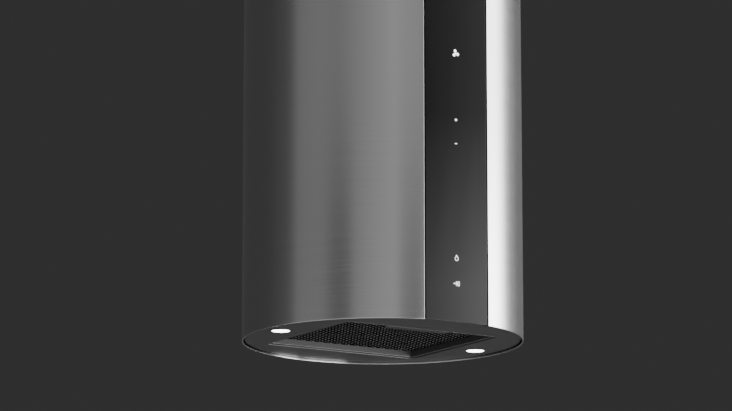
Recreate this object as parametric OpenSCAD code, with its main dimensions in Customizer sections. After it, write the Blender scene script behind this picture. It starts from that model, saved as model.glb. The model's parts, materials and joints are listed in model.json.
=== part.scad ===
// Island range hood: a telescopic ceiling frame with an upper cover, and a round body that
// slides down it. Origin at the centre of the ceiling face, +Z up, front (control glass) at -Y.
// Heights in the body are given above its bottom rim and placed with at_h().

/* [Overall height] */
// Ceiling to bottom rim with the frame pushed together
total_h = 900; // [880:10:960]
// How far the body can be lowered on the frame
travel = 180; // [100:10:180]

/* [Round body] */
// Outside diameter of the round body
body_d = 390; // [380:2:400]
// Height of the round body shell
body_h = 640; // [620:10:700]
// Sheet thickness of the shells
sheet_t = 1; // [0.8:0.1:1.2]

/* [Upper cover] */
// Outside diameter of the upper cover tube
cover_d = 350; // [346:1:352]
// Height of the cover's lower end above the bottom rim
cover_low_h = 400; // [396:2:420]

/* [Control glass] */
// Width of the slot in the shell that holds the glass
slot_w = 102; // [98:1:106]
// Gap between the glass and the shell at each side
glass_gap = 2.1; // [1.5:0.1:2.5]
// Glass thickness
glass_t = 4; // [3:0.5:4]

/* [Filter opening] */
// Width of the opening in the bottom plate
open_w = 230; // [224:2:234]
// Distance from the axis to the front edge of the opening
open_front = 97; // [94:1:100]
// Distance from the axis to the rear edge of the opening
open_back = 107; // [104:1:110]
// Height of the filter's face above the bottom rim
filter_h = 11.5; // [11:0.5:13]

/* [Lamps] */
// Distance of each lamp from the axis
lamp_x = 159; // [156:1:162]
// Diameter of a lamp's lens
lens_d = 27; // [24:1:30]

/* [Blower and duct] */
// Outside diameter of the duct collar
collar_d = 150; // [148:1:150]
// Diameter of the blower wheel
wheel_d = 140; // [130:2:144]

/* [Hidden] */
$fn = 96;
eps = 0.01;
body_r = body_d / 2;
cover_r = cover_d / 2;

// Rolled hem at the foot of the shell, and the return flanges beside the glass
hem_h = 4;
hem_w = 2.5;
flange_len = 12;
flange_gap = 0.3;

// Bottom plate
plate_h = 3;
plate_t = 1.2;
plate_gap = 1.2;
plate_r = body_r - hem_w - plate_gap;
plate_front = 184;
plate_flange_h = 22;
ledge_w = 8;
ledge_depth = 1;
wall_top_h = 34;
wall_screw_h = 28;
wall_screw_ys = [-60, 60];
wall_screw_r = 1.6;
lamp_y = 8;
lamp_sleeve = 1.4;
lens_t = 2;
lens_proud = 1;
lamp_hole_r = lens_d / 2 + lamp_sleeve + 0.2;

// Chassis inside the body
base_t = 1.5;
base_top_h = wall_top_h + base_t;
deck_h = 388;
deck_t = 2;
deck_top_h = deck_h + deck_t;
deck_r = body_r - 2;
deck_front = 172;
deck_hole_r = 78;
foot_screw_r = 2.5;
foot_hole_r = 2.6;
foot_head_r = 4.5;
foot_head_t = 3;

// Telescopic frame of L-section uprights
upper_l = 25;
upper_corner = 118;
upright_t = 2;
nest_gap = 0.3;
lower_corner = upper_corner - upright_t - nest_gap;
lower_l = 22;
lower_top_h = 800;
upper_len = 420;
slot_r = 3.3;
slot_spare = 6;
bolt_r = 3;
bolt_hole_r = 3.1;
bolt_in_y = 108;
bolt_hs = [785, 765];
corners = [[1, 1], [-1, 1], [-1, -1], [1, -1]];
foot_pos = 103;
low_foot_pos = 101;
bolt_x = 106;

// Ceiling plate
ceil_t = 3;
ceil_r = 170;
ceil_hole_r = 90;
anchor_r = 4;
anchor_pcd = 280;
cover_screw_r = 1.6;
cover_screw_z = -20;

// Control glass
chord_y = -sqrt(body_r * body_r - slot_w * slot_w / 4);
glass_w = slot_w - 2 * glass_gap;
glass_y = chord_y - 0.1;
carrier_low = 6;
carrier_y = glass_y + glass_t;
carrier_t = 6;
icon_t = 0.15;
icon_hs = [372, 279, 246, 87, 53];

// Grease filter
filter_clear = 1.5;
filter_half = open_w / 2 - filter_clear;
filter_front = open_front - filter_clear;
filter_back = open_back - 2.5;
filter_t = 7;
filter_rim = 12;
peg_r = 2;
peg_hole_r = 2.06;
peg_y = open_back - 7;
peg_h = filter_h + 4.5;
face_t = 1.2;
perf_pitch = 8.4;
perf_r = 2.5;
perf_cols = 15;
perf_rows = 11;
latch_w = 93;
latch_d = 14;
latch_t = 1.5;
latch_low_h = plate_h + 1.2;
latch_travel = 5;
stem_x = 33;
stem_w = 6;
stem_d = 4;
stem_gap = 0.5;
stem_slot = stem_d + latch_travel + 1;

// Blower: a spiral casing with the wheel's axis along X
spiral_y = -50;
spiral_h = 215;
spiral_r = 86;
spiral_step = 12;
scroll_half = 72;
scroll_t = 1.2;
scroll_top_h = 376;
wheel_y = -42;
wheel_h = 219;
wheel_r = wheel_d / 2;
inlet_r = 62;
shaft_r = 4;
shaft_hole_r = 4.06;
shaft_in = 18;
blades = 24;

// Control box on the underside of the deck, with the cable gland through its top
box_w = 150;
box_d = 50;
box_h = 84;
box_y = 108;
box_wall = 2;
box_top_h = deck_h - 0.5;
board_t = 1.6;
gland_x = 60;
gland_y = 130;
gland_r = 8;
gland_hole_r = 8.1;

// Duct collar with its two flaps
collar_r = collar_d / 2;
collar_t = 1.2;
collar_top_h = 430;
mount_pos = 82;
flap_r = collar_r - collar_t - 0.8;
flap_h = 395;
flap_t = 1;
hinge_r = 1.5;
hinge_hole_r = 1.56;
knuckle_r = 3;

// ---- shared helpers ----

// Places its children at height h above the bottom rim
module at_h(h) {
    translate([0, 0, h - total_h]) children();
}

// A flat ring or tube wall
module ring(r_out, r_in, t) {
    linear_extrude(t) difference() {
        circle(r = r_out);
        circle(r = r_in);
    }
}

// Extrudes a Y-Z outline along X, centred on x
module along_x(len, x = 0) {
    translate([x, 0, 0]) rotate([90, 0, 90]) linear_extrude(len, center = true) children();
}

// A round bar along X, from x to x + len
module bar_x(r, len, x, y, z) {
    translate([x, y, z]) rotate([0, 90, 0]) cylinder(r = r, h = len);
}

// A round bar along Y, from y to y + len
module bar_y(r, len, x, y, z) {
    translate([x, y, z]) rotate([-90, 0, 0]) cylinder(r = r, h = len);
}

// The front slot that the glass fills, as a cutting outline
module slot_2d() {
    translate([-slot_w / 2, -body_r - 1]) square([slot_w, body_r / 2]);
}

// The part of a disc of radius r that lies behind the line y = -front
module cut_disc(r, front) {
    difference() {
        circle(r = r);
        translate([-r, -2 * r]) square([2 * r, 2 * r - front]);
    }
}

// The filter opening, grown by g on every side
module opening_2d(g = 0) {
    translate([-open_w / 2 - g, -open_front - g])
        square([open_w + 2 * g, open_front + open_back + 2 * g]);
}

// An L-section with its corner at [corner, corner] and its legs pointing inwards
module l_section(corner, leg) {
    difference() {
        translate([corner - leg, corner - leg]) square(leg);
        translate([corner - leg - 1, corner - leg - 1]) square(leg - upright_t + 1);
    }
}

// Mirrors its children into one of the four corners
module in_corner(c) {
    mirror([c[0] < 0 ? 1 : 0, 0, 0]) mirror([0, c[1] < 0 ? 1 : 0, 0]) children();
}

// A pan-head screw pointing up, with the underside of its head at the origin
module screw_up(r, len, head_r, head_t) {
    translate([0, 0, -head_t / 2]) cylinder(r = r, h = len + head_t / 2);
    translate([0, 0, -head_t]) cylinder(r = head_r, h = head_t);
}

// Notches that clear the shell's two return flanges, as a cutting outline
module flange_notch_2d() {
    for (s = [0, 1]) mirror([s, 0]) translate([slot_w / 2 - flange_gap, chord_y - 1])
        square([sheet_t + 2 * flange_gap, flange_len + 2]);
}

// ---- ceiling frame ----

module ceiling_plate() {
    color("silver") translate([0, 0, -ceil_t]) difference() {
        ring(ceil_r, ceil_hole_r, ceil_t);
        for (a = [0:90:270]) rotate(a) translate([anchor_pcd / 2, 0, -1])
            cylinder(r = anchor_r, h = ceil_t + 2);
        for (c = corners) in_corner(c) translate([foot_pos, foot_pos, -1])
            cylinder(r = foot_hole_r, h = ceil_t + 2);
    }
}

module upper_upright(i) {
    low = -ceil_t - upper_len;
    slot_low = bolt_hs[1] - travel - slot_spare - total_h;
    slot_high = bolt_hs[0] + slot_spare - total_h;
    color("darkgray") in_corner(corners[i]) difference() {
        union() {
            translate([0, 0, low]) linear_extrude(upper_len) l_section(upper_corner, upper_l);
            translate([upper_corner - upper_l, upper_corner - upper_l, -ceil_t - upright_t])
                cube([upper_l, upper_l, upright_t]);
        }
        translate([foot_pos, foot_pos, -ceil_t - upright_t - 1]) cylinder(r = foot_hole_r, h = 4);
        translate([bolt_x - slot_r, upper_corner - upright_t - 1, slot_low])
            cube([2 * slot_r, upright_t + 2, slot_high - slot_low]);
        bar_y(slot_r, upright_t + 2, bolt_x, upper_corner - upright_t - 1, slot_low);
        bar_y(slot_r, upright_t + 2, bolt_x, upper_corner - upright_t - 1, slot_high);
    }
}

module upper_cover() {
    color("silver") difference() {
        translate([0, 0, cover_low_h - total_h])
            ring(cover_r, cover_r - sheet_t, total_h - cover_low_h);
        bar_x(cover_screw_r + 0.5, 2 * cover_r, -cover_r, 0, cover_screw_z);
    }
}

module cover_brackets() {
    leg = 20;
    drop = 25;
    wide = 24;
    t = 2;
    face_x = cover_r - sheet_t - 0.8;
    for (s = [0, 1]) color("darkgray") mirror([s, 0, 0]) difference() {
        union() {
            translate([face_x - leg, -wide / 2, -ceil_t - t]) cube([leg, wide, t]);
            translate([face_x - t, -wide / 2, -ceil_t - drop]) cube([t, wide, drop]);
        }
        bar_x(cover_screw_r + 0.1, 2 * t, face_x - 1.5 * t, 0, cover_screw_z);
    }
}

module cover_screws() {
    shank = 7;
    head_r = 3.6;
    head_t = 1.6;
    for (s = [0, 1]) color("gray") mirror([s, 0, 0]) {
        bar_x(cover_screw_r, shank, cover_r - shank + head_t / 2, 0, cover_screw_z);
        bar_x(head_r, head_t, cover_r + eps, 0, cover_screw_z);
    }
}

module frame_screws() {
    for (c = corners) color("gray") in_corner(c)
        translate([foot_pos, foot_pos, -ceil_t - upright_t])
            screw_up(foot_screw_r, ceil_t + upright_t, foot_head_r, foot_head_t);
}

// ---- round body ----

module lower_shell() {
    color("silver") at_h(0) difference() {
        union() {
            ring(body_r, body_r - sheet_t, body_h);
            ring(body_r, body_r - hem_w, hem_h);
            for (s = [0, 1]) mirror([s, 0, 0])
                translate([slot_w / 2, chord_y + flange_gap, 0])
                    cube([sheet_t, flange_len, body_h]);
        }
        translate([0, 0, -1]) linear_extrude(body_h + 2) slot_2d();
    }
}

module top_ring() {
    ring_t = 2;
    color("silver") at_h(body_h - ring_t) linear_extrude(ring_t) difference() {
        cut_disc(body_r - sheet_t - 0.1, -carrier_y - 0.3);
        circle(r = cover_r + 1.5);
        flange_notch_2d();
    }
}

module glass_panel() {
    color([0.05, 0.05, 0.06]) at_h(0) translate([-glass_w / 2, glass_y, 0])
        cube([glass_w, glass_t, body_h]);
}

module glass_carrier() {
    side = 10;
    back_t = 2;
    w = glass_w - 1;
    h = body_h - 2 * carrier_low;
    color("dimgray") at_h(carrier_low) difference() {
        translate([-w / 2, carrier_y, 0]) cube([w, carrier_t, h]);
        translate([-w / 2 + side, carrier_y + back_t, side])
            cube([w - 2 * side, carrier_t, h - 2 * side]);
    }
}

module glass_gasket() {
    strip_w = 1.2;
    strip_d = 6.8;
    setback = 0.6;
    color("black") at_h(carrier_low) for (s = [0, 1]) mirror([s, 0, 0])
        translate([slot_w / 2 - strip_w - 0.2, glass_y + setback, 0])
            cube([strip_w, strip_d, body_h - 2 * carrier_low]);
}

module touch_board() {
    w = 50;
    low = 36;
    high = 300;
    color("darkgreen") at_h(low) translate([-w / 2, carrier_y + 2, 0])
        cube([w, board_t, high - low]);
}

// One icon's outline, drawn on the glass
module icon_2d(i) {
    line = 0.8;
    span = 3.8;
    if (i == 0) fan_2d();
    if (i == 1) {
        square([span, line], center = true);
        square([line, span], center = true);
    }
    if (i == 2) square([span, line], center = true);
    if (i == 3) drop_2d(2.8);
    if (i == 4) cross_2d();
}

// A three-blade fan sign
module fan_2d() {
    hub_r = 1.3;
    blade_r = 2.1;
    circle(r = hub_r);
    for (a = [90, 210, 330]) rotate(a) translate([hub_r + blade_r - 0.1, 0.8]) circle(r = blade_r);
}

// A stroke that runs up to a cross and a bar
module cross_2d() {
    line = 0.7;
    half_h = 3.2;
    cross_w = 3.6;
    cross_at = 0.9;
    bar_at = 3.5;
    stroke_from = -5.2;
    lean = atan2(half_h, cross_w / 2);
    arm = 2 * norm([half_h, cross_w / 2]);
    translate([stroke_from, -line / 2]) square([cross_at - stroke_from, line]);
    for (a = [lean, -lean]) translate([cross_at, 0]) rotate(a) square([arm, line], center = true);
    translate([bar_at, -half_h]) square([line, 2 * half_h]);
}

// A water drop in outline
module drop_2d(r) {
    line = 0.6;
    difference() {
        drop_fill(r);
        drop_fill(r - line);
    }
}

// A filled water drop: a circle under a pointed cap
module drop_fill(r) {
    circle(r = r);
    polygon([[-r * cos(30), r * sin(30)], [0, 2 * r], [r * cos(30), r * sin(30)]]);
}

module touch_icons() {
    color("white") for (i = [0:len(icon_hs) - 1]) at_h(icon_hs[i])
        translate([0, glass_y, 0]) rotate([90, 0, 0]) linear_extrude(icon_t) icon_2d(i);
}

// Holes along X through the walls of the filter opening
module wall_holes(r, y, h) {
    bar_x(r, open_w + 10, -open_w / 2 - 5, y, h);
}

// The plate's outer flange, left out in front where the glass carrier stands
module plate_flange_2d() {
    clear = slot_w / 2 + 4;
    difference() {
        circle(r = plate_r);
        circle(r = plate_r - plate_t);
        translate([-clear, -body_r]) square([2 * clear, body_r / 2]);
    }
}

module bottom_plate() {
    color("gray") at_h(0) difference() {
        translate([0, 0, plate_h]) union() {
            linear_extrude(plate_t) difference() {
                cut_disc(plate_r, plate_front);
                flange_notch_2d();
            }
            linear_extrude(plate_flange_h - plate_h) plate_flange_2d();
            linear_extrude(ledge_depth + plate_t) opening_2d(ledge_w + plate_t);
            linear_extrude(wall_top_h - plate_h) opening_2d(plate_t);
        }
        translate([0, 0, -1]) linear_extrude(plate_h + ledge_depth + 1) opening_2d(ledge_w);
        translate([0, 0, -1]) linear_extrude(wall_top_h + 2) opening_2d();
        for (s = [-1, 1]) translate([s * lamp_x, lamp_y, -1]) cylinder(r = lamp_hole_r, h = 8);
        wall_holes(peg_hole_r, peg_y, peg_h);
        for (y = wall_screw_ys) wall_holes(wall_screw_r + 0.1, y, wall_screw_h);
    }
}

module panel_screws() {
    head_t = 1.5;
    wall_x = open_w / 2;
    color("darkgray") at_h(wall_screw_h) for (s = [0, 1]) mirror([s, 0, 0])
        for (y = wall_screw_ys) {
            bar_x(wall_screw_r, 8, wall_x - head_t / 2, y, 0);
            bar_x(3, head_t, wall_x - head_t, y, 0);
        }
}

module chassis_base() {
    lip_gap = 0.2;
    lip_low = 24;
    color("lightgray") at_h(0) difference() {
        union() {
            translate([0, 0, wall_top_h]) linear_extrude(base_t) cut_disc(deck_r, deck_front);
            translate([0, 0, lip_low]) linear_extrude(wall_top_h - lip_low + eps)
                opening_2d(plate_t + lip_gap + 1);
        }
        translate([0, 0, lip_low - 1]) linear_extrude(wall_top_h - lip_low + 1)
            opening_2d(plate_t + lip_gap);
        translate([0, 0, wall_top_h - 1]) linear_extrude(base_t + 2) opening_2d();
        for (y = wall_screw_ys) wall_holes(wall_screw_r + 0.1, y, wall_screw_h);
    }
}

module body_strut(i) {
    color("darkgray") at_h(base_top_h) in_corner(corners[i])
        linear_extrude(deck_h - base_top_h) l_section(upper_corner, 18);
}

module deck_plate() {
    color("lightgray") at_h(deck_h) difference() {
        linear_extrude(deck_t) cut_disc(deck_r, deck_front);
        translate([0, 0, -1]) cylinder(r = deck_hole_r, h = deck_t + 2);
        for (c = corners) in_corner(c) {
            translate([low_foot_pos, low_foot_pos, -1]) cylinder(r = foot_hole_r, h = deck_t + 2);
            translate([mount_pos, mount_pos, -1]) cylinder(r = bolt_hole_r, h = deck_t + 2);
        }
        translate([gland_x, gland_y, -1]) cylinder(r = gland_hole_r, h = deck_t + 2);
    }
}

module lower_upright(i) {
    side = lower_corner - lower_l;
    color("silver") at_h(deck_top_h) in_corner(corners[i]) difference() {
        union() {
            linear_extrude(lower_top_h - deck_top_h) l_section(lower_corner, lower_l);
            translate([side, side, 0]) cube([lower_l, lower_l, upright_t]);
        }
        translate([low_foot_pos, low_foot_pos, -1]) cylinder(r = foot_hole_r, h = 4);
        for (h = bolt_hs)
            bar_y(bolt_hole_r, upright_t + 2, bolt_x, lower_corner - upright_t - 1, h - deck_top_h);
    }
}

module foot_screws() {
    color("gray") at_h(deck_top_h + upright_t) for (c = corners) in_corner(c)
        translate([low_foot_pos, low_foot_pos, 0]) mirror([0, 0, 1])
            screw_up(foot_screw_r, upright_t + deck_t + 2, foot_head_r, foot_head_t);
}

module clamp_bolts() {
    head_y = upper_corner + nest_gap;
    head_r = 5;
    head_t = 3;
    color("gray") for (c = corners) in_corner(c) for (h = bolt_hs) at_h(h) {
        bar_y(bolt_r, head_y - bolt_in_y + eps, bolt_x, bolt_in_y, 0);
        bar_y(head_r, head_t, bolt_x, head_y, 0);
    }
}

module clamp_nuts() {
    nut_t = 4;
    nut_r = 5.4;
    face_y = lower_corner - upright_t;
    color("darkgray") for (c = corners) in_corner(c) for (h = bolt_hs) at_h(h)
        translate([bolt_x, face_y - nut_t, 0]) rotate([-90, 0, 0]) difference() {
            cylinder(r = nut_r, h = nut_t, $fn = 6);
            translate([0, 0, -1]) cylinder(r = bolt_r + 0.05, h = nut_t + 2);
        }
}

// ---- lamps ----

module lamp_bezel(side) {
    lens_r = lens_d / 2;
    rim_t = 0.5;
    rim_r = lens_r + 3;
    color("dimgray") at_h(plate_h - rim_t) translate([side * lamp_x, lamp_y, 0]) {
        ring(rim_r, lens_r + 0.2, rim_t);
        ring(lens_r + lamp_sleeve, lens_r + 0.2, 7);
    }
}

module lamp_lens(side) {
    color("white") at_h(plate_h - lens_proud) translate([side * lamp_x, lamp_y, 0])
        cylinder(r = lens_d / 2, h = lens_t + lens_proud);
}

module lamp_housings() {
    fins = 4;
    fin_gap = 3;
    fin_t = 1.2;
    cup_h = 6;
    core_r = 7;
    color("gray") at_h(plate_h + lens_t + 0.2) for (s = [-1, 1]) translate([s * lamp_x, lamp_y, 0]) {
        cylinder(r = lens_d / 2, h = cup_h);
        cylinder(r = core_r, h = cup_h + fins * fin_gap);
        for (i = [1:fins]) translate([0, 0, cup_h + i * fin_gap - fin_t])
            cylinder(r = lens_d / 2 - 1, h = fin_t);
    }
}

module led_driver() {
    w = 80;
    d = 34;
    h = 18;
    color("whitesmoke") at_h(plate_h + plate_t)
        translate([-w / 2, open_back + 15, 0]) cube([w, d, h]);
}

// ---- blower ----

// The spiral casing's outline in Y-Z, drawn inside by g: three arcs and the outlet duct
module spiral_2d(g = 0) {
    b_y = spiral_y + spiral_step;
    b_r = spiral_r + spiral_step;
    c_h = spiral_h + spiral_step;
    c_r = b_r + spiral_step;
    right = b_y + c_r;
    intersection() {
        translate([spiral_y, spiral_h]) circle(r = spiral_r - g);
        translate([spiral_y - 2 * spiral_r, spiral_h])
            square([2 * spiral_r + spiral_step, 2 * spiral_r]);
    }
    intersection() {
        translate([b_y, spiral_h]) circle(r = b_r - g);
        translate([b_y - 2 * b_r, spiral_h - 2 * b_r + eps]) square(2 * b_r);
    }
    intersection() {
        translate([b_y, c_h]) circle(r = c_r - g);
        translate([b_y - eps, c_h - 2 * c_r + eps]) square(2 * c_r);
    }
    translate([-right + g, spiral_h]) square([2 * (right - g), scroll_top_h - spiral_h]);
}

module blower_scroll() {
    color("lightgray") at_h(0) difference() {
        along_x(2 * scroll_half) spiral_2d();
        along_x(2 * scroll_half + 2) spiral_2d(scroll_t);
    }
}

module scroll_side(side) {
    color("silver") at_h(0) difference() {
        along_x(scroll_t, side * (scroll_half + scroll_t / 2)) spiral_2d();
        bar_x(inlet_r, 4 * scroll_half, -2 * scroll_half, wheel_y, wheel_h);
    }
}

module inlet_guards() {
    t = 1.6;
    wire = 2.5;
    rings = [inlet_r - 1, inlet_r - 21, inlet_r - 41];
    mid_x = scroll_half + scroll_t + t / 2;
    color("black") at_h(0) for (s = [0, 1]) mirror([s, 0, 0])
        along_x(t, mid_x) translate([wheel_y, wheel_h]) {
        for (r = rings) difference() {
            circle(r = r + wire);
            circle(r = r);
        }
        difference() {
            for (a = [0:60:120]) rotate(a) square([2 * (rings[0] + wire) - 1, wire], center = true);
            circle(r = rings[2] + 1);
        }
    }
}

module motor_can() {
    r = 38;
    len = 80;
    near_x = -10;
    color("dimgray") at_h(0) difference() {
        bar_x(r, len, near_x, wheel_y, wheel_h);
        bar_x(shaft_hole_r, shaft_in - near_x + 4, near_x - 1, wheel_y, wheel_h);
    }
}

module motor_bracket() {
    arm_w = 14;
    arm_len = inlet_r + 4;
    disc_r = 36;
    hole_r = 12;
    t = 1.6;
    mid_x = scroll_half - 1.2;
    color("silver") at_h(0) along_x(t, mid_x) difference() {
        translate([wheel_y, wheel_h]) {
            circle(r = disc_r);
            for (a = [90, 210, 330]) rotate(a) translate([0, -arm_w / 2]) square([arm_len, arm_w]);
        }
        translate([wheel_y, wheel_h]) circle(r = hole_r);
    }
}

module impeller() {
    half = 60;
    rim = 10;
    t = 2;
    blade_t = 1.2;
    disc_x = -24;
    hub_r = 12;
    hub_len = 14;
    hub_x = disc_x - 6;
    color("black") at_h(0) translate([0, wheel_y, wheel_h]) rotate([0, 90, 0]) difference() {
        union() {
            for (x = [-half, half - t]) translate([0, 0, x]) ring(wheel_r, wheel_r - rim, t);
            translate([0, 0, disc_x]) cylinder(r = wheel_r, h = t);
            translate([0, 0, hub_x]) cylinder(r = hub_r, h = hub_len);
            for (i = [0:blades - 1]) rotate(i * 360 / blades)
                translate([wheel_r - rim + 1, -blade_t / 2, 1 - half])
                    cube([rim - 2, blade_t, 2 * half - 2]);
        }
        translate([0, 0, hub_x - 4]) cylinder(r = shaft_r, h = 2 * hub_len);
    }
}

module motor_shaft() {
    end_x = -32;
    color("silver") at_h(0) bar_x(shaft_r, shaft_in - end_x, end_x, wheel_y, wheel_h);
}

module rubber_mounts() {
    color("black") at_h(scroll_top_h + 2) for (c = corners) in_corner(c)
        translate([mount_pos, mount_pos, 0]) ring(8, bolt_hole_r, deck_h - scroll_top_h - 2);
}

module blower_bolts() {
    len = 20;
    color("gray") at_h(deck_top_h) for (c = corners) in_corner(c)
        translate([mount_pos, mount_pos, 0]) mirror([0, 0, 1]) screw_up(bolt_r, len, 5, 3);
}

module outlet_collar() {
    base = 184;
    base_t = 2;
    ledge_t = 1.2;
    ledge_top_h = flap_h - flap_t / 2 - 0.3;
    inner_r = collar_r - collar_t;
    color("gray") at_h(0) difference() {
        union() {
            translate([0, 0, scroll_top_h + base_t / 2]) cube([base, base, base_t], center = true);
            translate([0, 0, scroll_top_h]) cylinder(r = collar_r, h = collar_top_h - scroll_top_h);
        }
        translate([0, 0, scroll_top_h - 1]) cylinder(r = flap_r - 2, h = collar_top_h);
        translate([0, 0, ledge_top_h]) cylinder(r = inner_r, h = collar_top_h);
        translate([0, 0, scroll_top_h - 1])
            cylinder(r = inner_r, h = ledge_top_h - ledge_t - scroll_top_h + 1);
        for (c = corners) in_corner(c) translate([mount_pos, mount_pos, scroll_top_h - 1])
            cylinder(r = bolt_hole_r, h = base_t + 2);
        bar_x(hinge_r + 0.1, 2 * body_r, -body_r, 0, flap_h);
    }
}

module damper_pin() {
    color("silver") at_h(0) bar_x(hinge_r, 2 * collar_r - 0.4, -collar_r + 0.2, 0, flap_h);
}

// One flap: a half disc with two hinge knuckles, lying on the +Y side
module damper_flap(spans) {
    side_gap = knuckle_r + 0.4;
    difference() {
        union() {
            translate([0, 0, -flap_t / 2]) linear_extrude(flap_t) difference() {
                circle(r = flap_r);
                translate([-flap_r, side_gap - 2 * flap_r]) square(2 * flap_r);
            }
            for (s = spans) {
                bar_x(knuckle_r, s[1] - s[0], s[0], 0, 0);
                translate([s[0], 0, -flap_t / 2]) cube([s[1] - s[0], side_gap + 1, flap_t]);
            }
        }
        bar_x(hinge_hole_r, 2 * flap_r, -flap_r, 0, 0);
    }
}

module damper_flap_front() {
    color("darkgray") at_h(flap_h) mirror([0, 1, 0]) damper_flap([[-60, -32], [2, 30]]);
}

module damper_flap_rear() {
    color("darkgray") at_h(flap_h) damper_flap([[-30, 0], [32, 60]]);
}

// ---- electrics ----

module control_box() {
    color("lightgray") at_h(box_top_h - box_h) translate([-box_w / 2, box_y, 0]) difference() {
        cube([box_w, box_d, box_h]);
        translate([box_wall, box_wall, box_wall])
            cube([box_w - 2 * box_wall, box_d, box_h - 2 * box_wall]);
        translate([gland_x + box_w / 2, gland_y - box_y, box_h - box_wall - 1])
            cylinder(r = gland_hole_r, h = box_wall + 2);
    }
}

module control_lid() {
    lid_t = 1.5;
    color("gray") at_h(box_top_h - box_h) translate([-box_w / 2, box_y + box_d, 0])
        cube([box_w, lid_t, box_h]);
}

module control_board() {
    w = 72;
    h = 60;
    color("darkgreen") at_h(box_top_h - 17.5 - h) translate([-10, box_y + 8, 0]) cube([w, board_t, h]);
}

module run_capacitor() {
    r = 14;
    len = 55;
    color("whitesmoke") at_h(box_top_h - box_h + box_wall + 0.1)
        translate([-45, box_y + box_d / 2, 0]) cylinder(r = r, h = len);
}

module cable_gland() {
    below = 6;
    len = 18;
    nut_r = 11;
    nut_t = 5;
    color("black") at_h(deck_h - below) translate([gland_x, gland_y, 0]) difference() {
        union() {
            cylinder(r = gland_r, h = len);
            translate([0, 0, below + deck_t]) cylinder(r = nut_r, h = nut_t, $fn = 6);
        }
        translate([0, 0, -1]) cylinder(r = 5, h = len + 2);
    }
}

// ---- grease filter ----

module filter_frame() {
    color("dimgray") at_h(filter_h) {
        difference() {
            translate([-filter_half, -filter_front, 0])
                cube([2 * filter_half, filter_front + filter_back, filter_t]);
            translate([-filter_half + filter_rim, -filter_front + filter_rim, -1])
                cube([2 * (filter_half - filter_rim),
                    filter_front + filter_back - 2 * filter_rim, filter_t + 2]);
            translate([-filter_half + 1, -filter_front + 1, -1])
                cube([2 * filter_half - 2, filter_front + filter_back - 2, 2.2]);
            for (s = [-1, 1]) translate([s * stem_x - stem_w / 2 - stem_gap, -filter_front + 1, -1])
                cube([stem_w + 2 * stem_gap, stem_slot + 1, filter_t + 2]);
        }
        for (s = [0, 1]) mirror([s, 0, 0])
            bar_x(peg_r, 5, filter_half - eps, peg_y, peg_h - filter_h);
    }
}

module filter_face() {
    mid_y = (filter_back - filter_front) / 2;
    color("black") at_h(filter_h) linear_extrude(face_t) difference() {
        translate([-filter_half + 1, -filter_front + 1])
            square([2 * filter_half - 2, filter_front + filter_back - 2]);
        for (i = [-perf_cols:perf_cols]) for (j = [-perf_rows:perf_rows])
            translate([i * perf_pitch * sin(60), mid_y + (j + (abs(i) % 2) / 2) * perf_pitch])
                if (!over_stem(i) || j > 3 - perf_rows) circle(r = perf_r, $fn = 24);
        for (s = [-1, 1]) translate([s * stem_x - stem_w / 2 - stem_gap, -filter_front])
            square([stem_w + 2 * stem_gap, stem_slot + 2]);
    }
}

// Whether column i of the perforation runs into a latch stem's slot
function over_stem(i) = abs(abs(i * perf_pitch * sin(60)) - stem_x) < stem_w / 2 + 2 * perf_r;

module filter_mesh() {
    inset = filter_rim + 0.4;
    t = 4;
    color("silver") at_h(filter_h + face_t + 0.2)
        translate([-filter_half + inset, -filter_front + inset, 0])
            cube([2 * (filter_half - inset), filter_front + filter_back - 2 * inset, t]);
}

module latch_slider() {
    head_h = filter_h + filter_t + 0.3;
    head_t = 1.5;
    front = filter_front - 1.5;
    slope = 5;
    color("gray") at_h(0) {
        translate([0, -front - 0.8, latch_low_h]) linear_extrude(latch_t)
            polygon([[-latch_w / 2 - slope, 0], [latch_w / 2 + slope, 0],
                [latch_w / 2, latch_d], [-latch_w / 2, latch_d]]);
        for (s = [-1, 1]) translate([s * stem_x, -front, 0]) {
            translate([-stem_w / 2, 0, latch_low_h + latch_t / 2])
                cube([stem_w, stem_d, head_h + head_t / 2 - latch_low_h - latch_t / 2]);
            translate([-stem_w / 2 - 3, 0, head_h]) cube([stem_w + 6, stem_d + 1, head_t]);
        }
    }
}

ceiling_plate();
upper_upright(0);  // upper_upright_1
upper_upright(1);  // upper_upright_2
upper_upright(2);  // upper_upright_3
upper_upright(3);  // upper_upright_4
upper_cover();
cover_brackets();
cover_screws();
frame_screws();
lower_shell();
top_ring();
glass_panel();
glass_carrier();
glass_gasket();
touch_board();
touch_icons();
bottom_plate();
panel_screws();
chassis_base();
body_strut(0);  // body_strut_1
body_strut(1);  // body_strut_2
body_strut(2);  // body_strut_3
body_strut(3);  // body_strut_4
deck_plate();
lower_upright(0);  // lower_upright_1
lower_upright(1);  // lower_upright_2
lower_upright(2);  // lower_upright_3
lower_upright(3);  // lower_upright_4
foot_screws();
clamp_bolts();
clamp_nuts();
lamp_bezel(-1);  // lamp_bezel_left
lamp_bezel(1);  // lamp_bezel_right
lamp_lens(-1);  // lamp_lens_left
lamp_lens(1);  // lamp_lens_right
lamp_housings();
led_driver();
blower_scroll();
scroll_side(-1);  // scroll_side_left
scroll_side(1);  // scroll_side_right
inlet_guards();
motor_can();
motor_bracket();
rubber_mounts();
blower_bolts();
impeller();
motor_shaft();
outlet_collar();
damper_pin();
damper_flap_front();
damper_flap_rear();
control_box();
control_lid();
control_board();
run_capacitor();
cable_gland();
filter_frame();
filter_face();
filter_mesh();
latch_slider();
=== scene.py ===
import json
import math

import bmesh
import bpy
from mathutils import Matrix, Vector


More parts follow.
